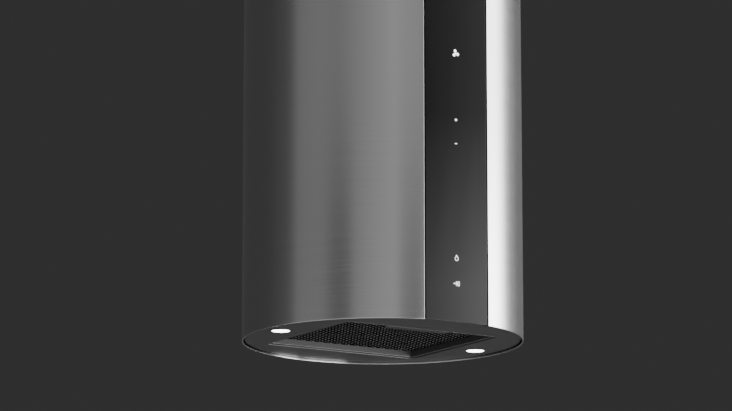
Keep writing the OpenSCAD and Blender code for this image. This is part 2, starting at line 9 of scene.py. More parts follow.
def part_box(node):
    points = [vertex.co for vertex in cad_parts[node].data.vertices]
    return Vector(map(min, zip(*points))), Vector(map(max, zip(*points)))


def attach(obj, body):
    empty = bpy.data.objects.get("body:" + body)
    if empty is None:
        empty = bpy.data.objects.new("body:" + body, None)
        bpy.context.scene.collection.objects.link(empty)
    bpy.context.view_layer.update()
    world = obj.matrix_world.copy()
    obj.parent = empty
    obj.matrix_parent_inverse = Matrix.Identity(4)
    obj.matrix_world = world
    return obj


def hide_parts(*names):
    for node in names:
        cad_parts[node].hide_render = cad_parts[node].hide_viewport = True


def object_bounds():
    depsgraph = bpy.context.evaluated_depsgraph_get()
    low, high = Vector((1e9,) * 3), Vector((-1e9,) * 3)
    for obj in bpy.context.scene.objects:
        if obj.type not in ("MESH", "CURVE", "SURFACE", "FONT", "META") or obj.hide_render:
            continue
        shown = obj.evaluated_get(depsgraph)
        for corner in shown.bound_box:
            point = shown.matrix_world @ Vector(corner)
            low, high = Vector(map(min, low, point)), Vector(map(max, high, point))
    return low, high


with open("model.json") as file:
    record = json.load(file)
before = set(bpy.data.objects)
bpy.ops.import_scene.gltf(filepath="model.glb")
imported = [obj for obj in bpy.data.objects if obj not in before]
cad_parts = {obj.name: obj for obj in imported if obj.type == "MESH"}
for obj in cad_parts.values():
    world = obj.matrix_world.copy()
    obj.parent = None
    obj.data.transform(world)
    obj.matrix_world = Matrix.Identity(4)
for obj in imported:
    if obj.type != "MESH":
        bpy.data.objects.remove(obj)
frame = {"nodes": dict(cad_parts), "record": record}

# ---------------------------------------------------------------- places taken from the frame

CAD_LOW, CAD_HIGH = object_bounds()
RIM_Z = CAD_LOW.z
MM = 0.001

SHELL_LOW, SHELL_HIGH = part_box("lower_shell")
COVER_LOW, COVER_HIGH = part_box("upper_cover")
GLASS_LOW, GLASS_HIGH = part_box("glass_panel")
PLATE_LOW, PLATE_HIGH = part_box("bottom_plate")
LATCH_LOW, LATCH_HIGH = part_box("latch_slider")

BODY_R = SHELL_HIGH.x
COVER_R = COVER_HIGH.x
SHEET = 1.0 * MM
SHEET_SOFT = 0.3 * MM        # rounding of a sheet's cut edge
SLOT_HALF = 51 * MM
EDGE_BEND = 0.5 * MM
EDGE_LOOP = 1.5 * MM         # keeps long walls straight beside their rounded ends
FLANGE_LEN = 12 * MM
OPEN_HALF = 115 * MM
OPEN_FRONT = -97 * MM
OPEN_BACK = 107 * MM
LEDGE_W = 8 * MM
LEDGE_DEPTH = 1 * MM
BEAD_R = 0.25 * MM
BEAD_SINK = 0.6              # how far a bead's centre lies inside the sheet, as a share of its radius
PEG_Y = 100 * MM             # the filter's pegs, and the holes in the opening's walls
PEG_H = 16 * MM
PEG_HOLE_R = 2.06 * MM
WALL_SCREW_YS = (-60 * MM, 60 * MM)
WALL_SCREW_H = 28 * MM
WALL_SCREW_HOLE_R = 1.7 * MM
PLATE_FRONT = -184 * MM
PLATE_T = 1.2 * MM
PLATE_SOFT = 0.4 * MM
PLATE_FLANGE_H = 19 * MM
PLATE_FLANGE_GAP = 8.5       # degrees left free at each side of the glass
OPENING_CORNER = 3 * MM
GLASS_LIFT = 0.9 * MM        # the pane stands this far above the rim
GLASS_SOFT = 0.3 * MM
LENS_LOW, LENS_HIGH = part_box("lamp_lens_right")
LENS_R = (LENS_HIGH.x - LENS_LOW.x) / 2
SEEN_R = LENS_R - 1.2 * MM   # the bezel's lip covers the rest of the lens
LAMP_X = (LENS_LOW.x + LENS_HIGH.x) / 2
LAMP_Y = (LENS_LOW.y + LENS_HIGH.y) / 2
LAMP_HOLE_R = LENS_R + 1.6 * MM
SLEEVE_R = LENS_R + 1.4 * MM

SHARP_DEG = 30               # edges bent by more than this stay sharp
SQUARE = 0.9999              # how closely a normal follows an axis on a face that stays flat
WELD = 1e-6
ROUND_SEGMENTS = 360
PLATE_SEGMENTS = 240
LAMP_SEGMENTS = 96
BORE_SEGMENTS = 48

# ---------------------------------------------------------------- mesh helpers


def finish_mesh(name, bm, material, body, replaces=(), flats=False):
    """Makes an object of bm, shades it smooth between sharp edges and ties it to its body.

    With flats, faces that are square to an axis stay perfectly flat beside their rounded edges.
    """
    bmesh.ops.recalc_face_normals(bm, faces=bm.faces)
    mesh = bpy.data.meshes.new(name)
    bm.to_mesh(mesh)
    bm.free()
    mesh.set_sharp_from_angle(angle=math.radians(SHARP_DEG))
    for face in mesh.polygons:
        face.use_smooth = not (flats and max(abs(v) for v in face.normal) > SQUARE)
    obj = bpy.data.objects.new(name, mesh)
    bpy.context.scene.collection.objects.link(obj)
    mesh.materials.append(material)
    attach(obj, body)
    if replaces:
        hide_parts(*replaces)


def add_revolved(bm, profile, centre=(0, 0, 0), start=0.0, end=360.0, segments=256):
    """Sweeps a closed (radius, z) outline round the Z axis; angles are degrees from +X."""
    whole = abs(end - start) >= 360
    count = segments if whole else segments + 1
    rings = []
    for i in range(count):
        a = math.radians(start + (end - start) * i / segments)
        rings.append([
            bm.verts.new((centre[0] + r * math.cos(a), centre[1] + r * math.sin(a), centre[2] + z))
            for r, z in profile
        ])
    steps = count if whole else count - 1
    size = len(profile)
    for i in range(steps):
        here, there = rings[i], rings[(i + 1) % count]
        for j in range(size):
            k = (j + 1) % size
            bm.faces.new((here[j], there[j], there[k], here[k]))
    if not whole:
        bm.faces.new(rings[0])
        bm.faces.new(rings[-1])


def arc(cx, cz, r, a0, a1, steps=5):
    """Points of an arc in an outline, from a0 to a1 degrees."""
    return [
        (cx + r * math.cos(math.radians(a0 + (a1 - a0) * i / steps)),
         cz + r * math.sin(math.radians(a0 + (a1 - a0) * i / steps)))
        for i in range(steps + 1)
    ]


def add_box(bm, low, high, bevel, segments=2):
    """A box with rounded edges."""
    low, high = Vector(low), Vector(high)
    made = bmesh.ops.create_cube(bm, size=1.0)["verts"]
    size, centre = high - low, (low + high) / 2
    for v in made:
        v.co = Vector((v.co.x * size.x, v.co.y * size.y, v.co.z * size.z)) + centre
    edges = {e for v in made for e in v.link_edges}
    bmesh.ops.bevel(bm, geom=list(edges), offset=bevel, segments=segments, affect="EDGES", profile=0.5)


def add_prism(bm, outline, z0, z1):
    """Stands a closed outline up between two heights."""
    low = [bm.verts.new((x, y, z0)) for x, y in outline]
    high = [bm.verts.new((x, y, z1)) for x, y in outline]
    for i in range(len(outline)):
        j = (i + 1) % len(outline)
        bm.faces.new((low[i], low[j], high[j], high[i]))
    bm.faces.new(low)
    bm.faces.new(high)


def rounded_rect(x0, y0, x1, y1, r, steps=6):
    """A rectangle's outline with round corners, counter-clockwise."""
    corners = ((x1 - r, y1 - r), (x0 + r, y1 - r), (x0 + r, y0 + r), (x1 - r, y0 + r))
    return [p for i, (cx, cy) in enumerate(corners) for p in arc(cx, cy, r, 90 * i, 90 * (i + 1), steps)]


def circle_points(cx, cy, r, steps=64):
    """A circle's outline."""
    return [(cx + r * math.cos(2 * math.pi * i / steps), cy + r * math.sin(2 * math.pi * i / steps))
            for i in range(steps)]


def plate_mesh(outlines, z, thickness, bevel):
    """A flat plate with holes and softened edges, as a bmesh; z is its underside."""
    curve = bpy.data.curves.new("plate_outline", "CURVE")
    curve.dimensions = "2D"
    curve.fill_mode = "BOTH"
    curve.extrude = thickness / 2 - bevel
    curve.bevel_depth = bevel
    curve.bevel_resolution = 2
    curve.offset = -bevel
    for points in outlines:
        spline = curve.splines.new("POLY")
        spline.points.add(len(points) - 1)
        for p, (x, y) in zip(spline.points, points):
            p.co = (x, y, 0, 1)
        spline.use_cyclic_u = True
    holder = bpy.data.objects.new("plate_outline", curve)
    bpy.context.scene.collection.objects.link(holder)
    bpy.context.view_layer.update()
    mesh = bpy.data.meshes.new_from_object(holder.evaluated_get(bpy.context.evaluated_depsgraph_get()))
    bm = bmesh.new()
    bm.from_mesh(mesh)
    bmesh.ops.translate(bm, verts=bm.verts, vec=(0, 0, z + thickness / 2))
    bmesh.ops.remove_doubles(bm, verts=bm.verts, dist=WELD)
    bpy.data.objects.remove(holder)
    bpy.data.meshes.remove(mesh)
    bpy.data.curves.remove(curve)
    return bm


# ---------------------------------------------------------------- material helpers

NOISE_LOW = 0.3              # most of a noise texture's values lie between these two
NOISE_HIGH = 0.7
MIX_A, MIX_B, MIX_OUT = 6, 7, 2    # a Mix node's colour sockets

def new_material(name):
    """A material with its Principled shader and the tools to add nodes to it."""
    mat = bpy.data.materials.new(name)
    mat.use_nodes = True
    nodes = mat.node_tree.nodes
    return mat, nodes, mat.node_tree.links, nodes["Principled BSDF"]


def coords(nodes, links, scale):
    """Object coordinates scaled along each axis, in metres."""
    place = nodes.new("ShaderNodeTexCoord")
    mapping = nodes.new("ShaderNodeMapping")
    mapping.inputs["Scale"].default_value = scale
    links.new(place.outputs["Object"], mapping.inputs["Vector"])
    return mapping.outputs["Vector"]


def noise(nodes, links, scale, detail=3.0, rough=0.5, stretch=(1, 1, 1)):
    """A noise texture's value; scale is in waves a metre."""
    tex = nodes.new("ShaderNodeTexNoise")
    tex.inputs["Scale"].default_value = scale
    tex.inputs["Detail"].default_value = detail
    tex.inputs["Roughness"].default_value = rough
    links.new(coords(nodes, links, stretch), tex.inputs["Vector"])
    return tex.outputs["Fac"]


def remap(nodes, links, value, low, high):
    """Maps a texture's usual values onto low to high."""
    ramp = nodes.new("ShaderNodeMapRange")
    ramp.inputs["From Min"].default_value = NOISE_LOW
    ramp.inputs["From Max"].default_value = NOISE_HIGH
    ramp.inputs["To Min"].default_value = low
    ramp.inputs["To Max"].default_value = high
    links.new(value, ramp.inputs["Value"])
    return ramp.outputs["Result"]


def mix_colours(nodes, links, value, dark, light):
    """A colour between dark and light, by a texture value."""
    mix = nodes.new("ShaderNodeMix")
    mix.data_type = "RGBA"
    mix.inputs[MIX_A].default_value = (*dark, 1)
    mix.inputs[MIX_B].default_value = (*light, 1)
    links.new(remap(nodes, links, value, 0, 1), mix.inputs[0])
    return mix.outputs[MIX_OUT]


def bump(nodes, links, value, depth, shader):
    """Adds a bump of that depth in metres to the shader."""
    node = nodes.new("ShaderNodeBump")
    node.inputs["Strength"].default_value = 1.0
    node.inputs["Distance"].default_value = depth
    links.new(value, node.inputs["Height"])
    links.new(node.outputs["Normal"], shader.inputs["Normal"])


def grey(v):
    """A neutral colour."""
    return (v, v, v)


def greys(nodes, links, value, tones):
    """A neutral colour between two tones, by a texture value."""
    dark, light = (grey(tone) for tone in tones)
    return mix_colours(nodes, links, value, dark, light)


# Each pair runs from the darkest or glossiest spot to the lightest or dullest
GRAIN_TONE = (0.97, 1.02)    # brushed steel, shares of its level
GRAIN_ROUGH = (0.86, 1.1)    # and of its roughness
CLOUD_ROUGH = 0.012          # slow drift of the roughness either way
GRAIN_DEPTH = 0.004 * MM
SPANGLES = 90.0              # zinc spangles, waves a metre
SPANGLE_TONE = (0.92, 1.04)
SPANGLE_ROUGH = (0.32, 0.46)
ZINC_METAL = 0.95
MOULD_TONE = (0.85, 1.15)    # moulded parts, shares of their colour
MOULD_ROUGH = (-0.05, 0.07)  # added to their roughness
TEXTURE_DEPTH = 0.02 * MM
GLASS_TONE = (0.0035, 0.0055)
GLASS_ROUGH = (0.015, 0.03)
GLASS_IOR = 1.52
ENAMEL_TONE = (0.0006, 0.0012)
ENAMEL_ROUGH = (0.5, 0.62)
ENAMEL_DEPTH = 0.01 * MM
WHITE_LIGHT = (1.0, 1.0, 1.0, 1)
LENS_TONE = (0.86, 0.93)
LENS_ROUGH = (0.3, 0.4)
LENS_GLOW = 9.0
SIGN_TONE = (0.8, 0.88)
SIGN_ROUGH = (0.45, 0.55)
SIGN_GLOW = 2.4
BOARD_COLOURS = {"Color1": (0.012, 0.10, 0.045, 1), "Color2": (0.015, 0.13, 0.06, 1),
                 "Mortar": (0.03, 0.2, 0.1, 1)}
BOARD_ROUGH = (0.25, 0.4)
FLOOR_TONE = (0.60, 0.64)
FLOOR_ROUGH = 0.7


def brushed_steel(name, level, rough, grain, aniso=0.0, metal=1.0, gloss=0.5):
    """Satin steel whose grain runs across the direction in which the grain values are large."""
    mat, nodes, links, shader = new_material(name)
    fine = noise(nodes, links, 1.0, rough=0.6, stretch=grain)
    cloud = noise(nodes, links, 4.0, detail=2.0)
    tones = [share * level for share in GRAIN_TONE]
    links.new(greys(nodes, links, fine, tones), shader.inputs["Base Color"])
    add = nodes.new("ShaderNodeMath")
    add.operation = "ADD"
    glossy, dull = (rough * share for share in GRAIN_ROUGH)
    links.new(remap(nodes, links, fine, glossy, dull), add.inputs[0])
    links.new(remap(nodes, links, cloud, -CLOUD_ROUGH, CLOUD_ROUGH), add.inputs[1])
    links.new(add.outputs[0], shader.inputs["Roughness"])
    bump(nodes, links, fine, GRAIN_DEPTH, shader)
    shader.inputs["Metallic"].default_value = metal
    shader.inputs["Specular IOR Level"].default_value = gloss
    if aniso:
        shader.inputs["Anisotropic"].default_value = aniso
        tangent = nodes.new("ShaderNodeTangent")
        tangent.direction_type = "RADIAL"
        tangent.axis = "Z"
        links.new(tangent.outputs[0], shader.inputs["Tangent"])
    return mat


def galvanised(name, level):
    """Zinc-coated sheet: large soft spangles in colour and gloss."""
    mat, nodes, links, shader = new_material(name)
    cells = nodes.new("ShaderNodeTexVoronoi")
    cells.inputs["Scale"].default_value = SPANGLES
    links.new(coords(nodes, links, (1, 1, 1)), cells.inputs["Vector"])
    value = nodes.new("ShaderNodeSeparateColor")
    links.new(cells.outputs["Color"], value.inputs[0])
    spangle = value.outputs[0]
    tones = [share * level for share in SPANGLE_TONE]
    links.new(greys(nodes, links, spangle, tones), shader.inputs["Base Color"])
    links.new(remap(nodes, links, spangle, *SPANGLE_ROUGH), shader.inputs["Roughness"])
    bump(nodes, links, noise(nodes, links, 600.0), TEXTURE_DEPTH, shader)
    shader.inputs["Metallic"].default_value = ZINC_METAL
    return mat


def moulded(name, colour, rough=0.45, grain=2200.0, gloss=0.5):
    """Moulded plastic or rubber with a fine spark-eroded texture."""
    mat, nodes, links, shader = new_material(name)
    fine = noise(nodes, links, grain, detail=2.0)
    wide = noise(nodes, links, 30.0)
    dark, light = ([share * c for c in colour] for share in MOULD_TONE)
    links.new(mix_colours(nodes, links, wide, dark, light), shader.inputs["Base Color"])
    glossy, dull = (rough + change for change in MOULD_ROUGH)
    links.new(remap(nodes, links, wide, glossy, dull), shader.inputs["Roughness"])
    shader.inputs["Specular IOR Level"].default_value = gloss
    bump(nodes, links, fine, TEXTURE_DEPTH, shader)
    return mat


def control_glass_material():
    """Black glass: a deep polished face with a very faint haze."""
    mat, nodes, links, shader = new_material("control_glass")
    haze = noise(nodes, links, 14.0, detail=4.0, rough=0.6, stretch=(1, 1, 0.4))
    links.new(greys(nodes, links, haze, GLASS_TONE), shader.inputs["Base Color"])
    links.new(remap(nodes, links, haze, *GLASS_ROUGH), shader.inputs["Roughness"])
    shader.inputs["IOR"].default_value = GLASS_IOR
    return mat


PAINTED_LIT_WALL = 0.17             # painted light: the light grey given to hole walls that face the camera's way, standing in for walls lit by the lamps
PAINTED_LIGHT_WAY = (0.53, 0.85, 0)   # painted light: hole walls facing along this line, away from the camera or towards it, get that grey; the rest stay black enamel
PAINTED_LIGHT_SPREAD = 0.8


def filter_sheet_material():
    """Matt black enamelled sheet with a painted highlight: the punched holes' walls that face the
    camera's way, or straight back, are painted light grey.
    """
    mat, nodes, links, shader = new_material("filter_sheet")
    wear = noise(nodes, links, 160.0, rough=0.6)
    face = greys(nodes, links, wear, ENAMEL_TONE)
    place = nodes.new("ShaderNodeTexCoord")
    along = nodes.new("ShaderNodeVectorMath")
    along.operation = "DOT_PRODUCT"
    along.inputs[1].default_value = PAINTED_LIGHT_WAY
    links.new(place.outputs["Normal"], along.inputs[0])
    either = nodes.new("ShaderNodeMath")
    either.operation = "ABSOLUTE"
    links.new(along.outputs["Value"], either.inputs[0])
    # painted light: picks the hole walls that face within the spread of that line, whichever way
    painted_lit = nodes.new("ShaderNodeMath")
    painted_lit.operation = "GREATER_THAN"
    painted_lit.inputs[1].default_value = PAINTED_LIGHT_SPREAD
    links.new(either.outputs[0], painted_lit.inputs[0])
    mix = nodes.new("ShaderNodeMix")
    mix.data_type = "RGBA"
    mix.inputs[MIX_B].default_value = (*grey(PAINTED_LIT_WALL), 1)
    links.new(painted_lit.outputs[0], mix.inputs[0])
    links.new(face, mix.inputs[MIX_A])
    links.new(mix.outputs[MIX_OUT], shader.inputs["Base Color"])
    links.new(remap(nodes, links, wear, *ENAMEL_ROUGH), shader.inputs["Roughness"])
    shader.inputs["Specular IOR Level"].default_value = 0.0
    bump(nodes, links, noise(nodes, links, 1500.0), ENAMEL_DEPTH, shader)
    return mat


def lens_material():
    """Frosted diffuser lit from behind."""
    mat, nodes, links, shader = new_material("lamp_diffuser")
    frost = noise(nodes, links, 900.0, detail=2.0)
    links.new(greys(nodes, links, frost, LENS_TONE), shader.inputs["Base Color"])
    links.new(remap(nodes, links, frost, *LENS_ROUGH), shader.inputs["Roughness"])
    shader.inputs["Emission Color"].default_value = WHITE_LIGHT
    shader.inputs["Emission Strength"].default_value = LENS_GLOW
    return mat


def backlit_material():
    """White print on the glass, lit softly from behind."""
    mat, nodes, links, shader = new_material("sign_white")
    ink = noise(nodes, links, 1200.0, detail=2.0)
    links.new(greys(nodes, links, ink, SIGN_TONE), shader.inputs["Base Color"])
    links.new(remap(nodes, links, ink, *SIGN_ROUGH), shader.inputs["Roughness"])
    shader.inputs["Emission Color"].default_value = WHITE_LIGHT
    shader.inputs["Emission Strength"].default_value = SIGN_GLOW
    return mat


def circuit_board_material():
    """Green lacquered board with a fine pattern of tracks."""
    mat, nodes, links, shader = new_material("circuit_board")
    tracks = nodes.new("ShaderNodeTexBrick")
    tracks.inputs["Scale"].default_value = 120.0
    for socket, colour in BOARD_COLOURS.items():
        tracks.inputs[socket].default_value = colour
    links.new(coords(nodes, links, (1, 1, 1)), tracks.inputs["Vector"])
    links.new(tracks.outputs["Color"], shader.inputs["Base Color"])
    links.new(remap(nodes, links, noise(nodes, links, 80.0), *BOARD_ROUGH), shader.inputs["Roughness"])
    return mat


BRUSH_ROUND = (5.0, 5.0, 1500.0)     # grain running round the tubes
BRUSH_FLAT = (6.0, 1100.0, 6.0)      # grain running from side to side on flat plates

MATERIALS = {
    "steel_brushed": brushed_steel("steel_brushed", 0.60, 0.20, BRUSH_ROUND, aniso=0.3),
    "steel_plate": brushed_steel("steel_plate", 0.045, 0.42, BRUSH_FLAT, metal=0.1, gloss=0.12),
    "steel_frame": galvanised("steel_frame", 0.58),
    "steel_galvanised": galvanised("steel_galvanised", 0.5),
    "screw_steel": brushed_steel("screw_steel", 0.62, 0.3, (400.0, 400.0, 400.0)),
    "control_glass": control_glass_material(),
    "plastic_black": moulded("plastic_black", grey(0.022)),
    "rubber_black": moulded("rubber_black", grey(0.003), 0.6, 900.0, gloss=0.0),
    "circuit_board": circuit_board_material(),
    "sign_white": backlit_material(),
    "lamp_diffuser": lens_material(),
    "aluminium_cast": brushed_steel("aluminium_cast", 0.62, 0.42, (700.0, 700.0, 700.0)),
    "aluminium_mesh": brushed_steel("aluminium_mesh", 0.5, 0.45, (500.0, 500.0, 500.0)),
    "filter_black": filter_sheet_material(),
    "plastic_white": moulded("plastic_white", grey(0.72), 0.4),
}
OPENING_WALL = brushed_steel("opening_wall", 0.05, 0.5, BRUSH_FLAT, metal=0.1)
POLISHED_FOLD = brushed_steel("polished_fold", 0.6, 0.09, BRUSH_ROUND)
BARE_EDGE = brushed_steel("bare_edge", 0.22, 0.25, BRUSH_FLAT)
NODE_SLOTS = {row["node"]: row["material_slot"] for row in frame["record"]["subparts"]}

# ---------------------------------------------------------------- the round body


def make_lower_shell():
    """The body shell: a rolled sheet with a folded hem at the foot, open where the glass sits."""
    low, high = SHELL_LOW.z, SHELL_HIGH.z
    r, inner = BODY_R, BODY_R - SHEET
    lip, soft = 0.25 * MM, 0.2 * MM
    profile = arc(r - lip, low + lip, lip, 0, -90)
    profile += [(inner + soft, low), (inner, low + soft)]
    profile += [(inner, high - soft), (inner + soft, high)]
    profile += [(r - SHEET_SOFT, high), (r, high - SHEET_SOFT)]
    profile += [(r, high - EDGE_LOOP), (r, low + lip + EDGE_LOOP)]
    bend_x = SLOT_HALF + EDGE_BEND
    bend_y = -math.sqrt((r - EDGE_BEND) ** 2 - bend_x ** 2)
    facing = math.degrees(math.atan2(bend_y, bend_x))
    bm = bmesh.new()
    add_revolved(bm, profile, start=facing, end=180 - facing, segments=ROUND_SEGMENTS)
    edge_y = -math.sqrt(r ** 2 - SLOT_HALF ** 2)
    outline = arc(bend_x, bend_y, EDGE_BEND, facing, -180)
    outline += [(SLOT_HALF, edge_y + FLANGE_LEN), (SLOT_HALF + SHEET, edge_y + FLANGE_LEN)]
    outline += [(SLOT_HALF + SHEET, bend_y)]
    for side in (-1, 1):
        add_prism(bm, [(side * x, y) for x, y in outline], low, high)
    hem, hem_h, roll, crease = 2.0 * MM, 4 * MM, 0.9 * MM, 0.3 * MM
    fold = arc(r - hem + roll, low + roll, roll, -90, -180, 8)
    fold += [(r - hem, low + hem_h - crease), (r - hem + crease, low + hem_h)]
    fold += [(inner, low + hem_h), (inner, low)]
    folded = bmesh.new()
    add_revolved(folded, fold, start=facing, end=180 - facing, segments=ROUND_SEGMENTS)
    finish_mesh("hem_fold", folded, POLISHED_FOLD, "hood_body")
    finish_mesh("shell_sheet", bm, MATERIALS["steel_brushed"], "hood_body",
                ["lower_shell"])


def make_upper_cover():
    """The upper cover tube, with softened ends and its welded seam at the back."""
    low, high = COVER_LOW.z, COVER_HIGH.z
    r, inner, soft = COVER_R, COVER_R - SHEET, SHEET_SOFT
    profile = [(r, low + soft), (r, low + EDGE_LOOP), (r, high - EDGE_LOOP), (r, high - soft),
               (r - soft, high), (inner + soft, high), (inner, high - soft), (inner, low + soft),
               (inner + soft, low), (r - soft, low)]
    bm = bmesh.new()
    half_seam, seam_depth = 0.12, 0.25 * MM
    add_revolved(bm, profile, start=90 + half_seam, end=450 - half_seam, segments=ROUND_SEGMENTS)
    seam = [(pr - seam_depth if pr > r - SHEET / 2 else pr, z) for pr, z in profile]
    add_revolved(bm, seam, start=90 - half_seam, end=90 + half_seam, segments=1)
    finish_mesh("cover_tube", bm, MATERIALS["steel_brushed"], "ceiling_frame",
                ["upper_cover"])


def make_glass():
    """The control glass: a flat pane with polished, softened edges."""
    bm = bmesh.new()
    add_box(bm, GLASS_LOW + Vector((0, 0, GLASS_LIFT)), GLASS_HIGH, GLASS_SOFT, 3)
    finish_mesh("glass_pane", bm, MATERIALS["control_glass"], "hood_body",
                ["glass_panel"], flats=True)


def make_seal():
    """The seal beside the glass: a lip that fills the gap, on the strip behind it."""
    low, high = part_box("glass_gasket")
    play, setback, depth, strip, soft = 0.05 * MM, 0.25 * MM, 3.3 * MM, 1.2 * MM, 0.1 * MM
    face = GLASS_LOW.y + setback
    wide = (GLASS_HIGH.x + play, SLOT_HALF - play)
    narrow = (high.x - strip, high.x)
    bm = bmesh.new()
    for (x0, x1), y0, y1 in ((wide, face, face + depth), (narrow, face + depth, high.y)):
        for side in (-1, 1):
            near, far = sorted((side * x0, side * x1))
            add_box(bm, (near, y0, low.z), (far, y1, high.z), soft, 1)
    finish_mesh("glass_seal", bm, MATERIALS["rubber_black"], "hood_body",
                ["glass_gasket"], flats=True)


def disc_outline(r, front, steps=PLATE_SEGMENTS):
    """A disc's outline cut flat at y = front."""
    start = math.degrees(math.asin(front / r))
    return arc(0, 0, r, start, 180 - start, steps)


def make_bottom_plate():
    """The underside: a sheet stepped up round the filter opening, with walls and an outer flange."""
    r = PLATE_HIGH.x
    z = PLATE_LOW.z
    opening, step, hidden = (
        rounded_rect(-OPEN_HALF - w, OPEN_FRONT - w, OPEN_HALF + w, OPEN_BACK + w, OPENING_CORNER + w)
        for w in (0, LEDGE_W, LEDGE_W + PLATE_T))
    holes = [circle_points(s * LAMP_X, LAMP_Y, LAMP_HOLE_R) for s in (-1, 1)]
    bm = plate_mesh([disc_outline(r, PLATE_FRONT), step, *holes], z, PLATE_T, PLATE_SOFT)
    ledge = plate_mesh([hidden, opening], z + LEDGE_DEPTH, PLATE_T, PLATE_SOFT)
    spare = bpy.data.meshes.new("ledge")
    ledge.to_mesh(spare)
    ledge.free()
    bm.from_mesh(spare)
    bpy.data.meshes.remove(spare)
    start = math.degrees(math.asin(PLATE_FRONT / r)) + PLATE_FLANGE_GAP
    foot, top = z + SHEET_SOFT, z + PLATE_FLANGE_H
    flange = [(r, foot), (r, top), (r - PLATE_T, top), (r - PLATE_T, foot)]
    add_revolved(bm, flange, start=start, end=180 - start, segments=PLATE_SEGMENTS)
    finish_mesh("underside_plate", bm, MATERIALS["steel_plate"], "hood_body",
                ["bottom_plate"], flats=True)
    bm = bmesh.new()
    add_wall(bm, opening, PLATE_T, z + LEDGE_DEPTH + SHEET_SOFT, PLATE_HIGH.z)
    bm = drilled_across(bm, [(PEG_Y, RIM_Z + PEG_H, PEG_HOLE_R)]
                        + [(y, RIM_Z + WALL_SCREW_H, WALL_SCREW_HOLE_R) for y in WALL_SCREW_YS])
    finish_mesh("opening_wall", bm, OPENING_WALL, "hood_body")
    bm = bmesh.new()
    add_bead(bm, step, BEAD_R, z)
    add_bead(bm, opening, BEAD_R, z + LEDGE_DEPTH)
    finish_mesh("opening_bead", bm, BARE_EDGE, "hood_body")


def drilled_across(bm, bores):
    """Drills each bore, given as (y, z, radius), through a closed mesh from side to side."""
    cutter = bmesh.new()
    for y, z, r in bores:
        place = Matrix.Translation((0, y, z)) @ Matrix.Rotation(math.pi / 2, 4, "Y")
        bmesh.ops.create_cone(cutter, cap_ends=True, segments=BORE_SEGMENTS, radius1=r, radius2=r,
                              depth=4 * OPEN_HALF, matrix=place)
    bmesh.ops.recalc_face_normals(bm, faces=bm.faces)
    pair = []
    for name, part in (("to_drill", bm), ("drill", cutter)):
        mesh = bpy.data.meshes.new(name)
        part.to_mesh(mesh)
        part.free()
        pair.append(bpy.data.objects.new(name, mesh))
        bpy.context.scene.collection.objects.link(pair[-1])
    cut = pair[0].modifiers.new("drill", "BOOLEAN")
    cut.operation = "DIFFERENCE"
    cut.solver = "EXACT"
    cut.object = pair[1]
    bpy.context.view_layer.update()
    mesh = bpy.data.meshes.new_from_object(pair[0].evaluated_get(bpy.context.evaluated_depsgraph_get()))
    result = bmesh.new()
    result.from_mesh(mesh)
    bpy.data.meshes.remove(mesh)
    for obj in pair:
        spare = obj.data
        bpy.data.objects.remove(obj)
        bpy.data.meshes.remove(spare)
    return result


def outward(outline):
    """The direction away from a closed counter-clockwise outline at each of its points."""
    found = []
    for i in range(len(outline)):
        (px, py), (nx, ny) = outline[i - 1], outline[(i + 1) % len(outline)]
        size = math.hypot(nx - px, ny - py)
        found.append(((ny - py) / size, (px - nx) / size))
    return found


def add_bead(bm, outline, r, z, steps=10):
    """A round bead along the lower corner of a sheet's edge, standing a little proud of both faces."""
    sunk = BEAD_SINK * r
    rings = []
    for (x, y), (ox, oy) in zip(outline, outward(outline)):
        ring = []
        for k in range(steps):
            a = 2 * math.pi * k / steps
            out = sunk + r * math.cos(a)
            ring.append(bm.verts.new((x + ox * out, y + oy * out, z + sunk + r * math.sin(a))))
        rings.append(ring)
    for a, b in zip(rings, rings[1:] + rings[:1]):
        for k in range(steps):
            m = (k + 1) % steps
            bm.faces.new((a[k], b[k], b[m], a[m]))


def add_wall(bm, outline, thickness, z0, z1):
    """An upright wall along a closed outline, its thickness to the outline's outside."""
    count = len(outline)
    outer = [(x + thickness * ox, y + thickness * oy)
             for (x, y), (ox, oy) in zip(outline, outward(outline))]
    rings = [[bm.verts.new((x, y, z)) for x, y in line] for line, z in
             ((outline, z0), (outline, z1), (outer, z1), (outer, z0))]
    for a, b in zip(rings, rings[1:] + rings[:1]):
        for i in range(count):
            j = (i + 1) % count
            bm.faces.new((a[i], a[j], b[j], b[i]))


def make_lamp(side, name):
    """One lamp: a turned bezel with rounded edges and a slightly domed frosted lens."""
    centre = (side * LAMP_X, LAMP_Y, 0)
    low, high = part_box("lamp_bezel_" + name)
    face, top = low.z, high.z
    play, soft, air = 0.2 * MM, 0.3 * MM, 0.02 * MM
    outer, inner = high.x - side * LAMP_X, SEEN_R + play
    rim_top = PLATE_LOW.z - air
    profile = arc(outer - soft, face + soft, soft, 0, -90, 3)
    profile += [(inner + soft, face), (inner, face + soft), (inner, top), (SLEEVE_R, top)]
    profile += [(SLEEVE_R, rim_top), (outer, rim_top)]
    bm = bmesh.new()
    add_revolved(bm, profile, centre, segments=LAMP_SEGMENTS)
    finish_mesh("bezel_" + name, bm, MATERIALS["plastic_black"], "hood_body",
                ["lamp_bezel_" + name])
    low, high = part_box("lamp_lens_" + name)
    bm = bmesh.new()
    dome, pole, steps = 0.6 * MM, 0.01 * MM, 10
    angles = [math.pi / 2 * i / steps for i in range(steps)]
    crown = [(SEEN_R * math.cos(a), low.z + dome * (1 - math.sin(a))) for a in angles]
    outline = [(pole, high.z), (SEEN_R, high.z), *crown, (pole, low.z)]
    add_revolved(bm, outline, centre, segments=LAMP_SEGMENTS)
    finish_mesh("lens_" + name, bm, MATERIALS["lamp_diffuser"], "hood_body",
                ["lamp_lens_" + name])


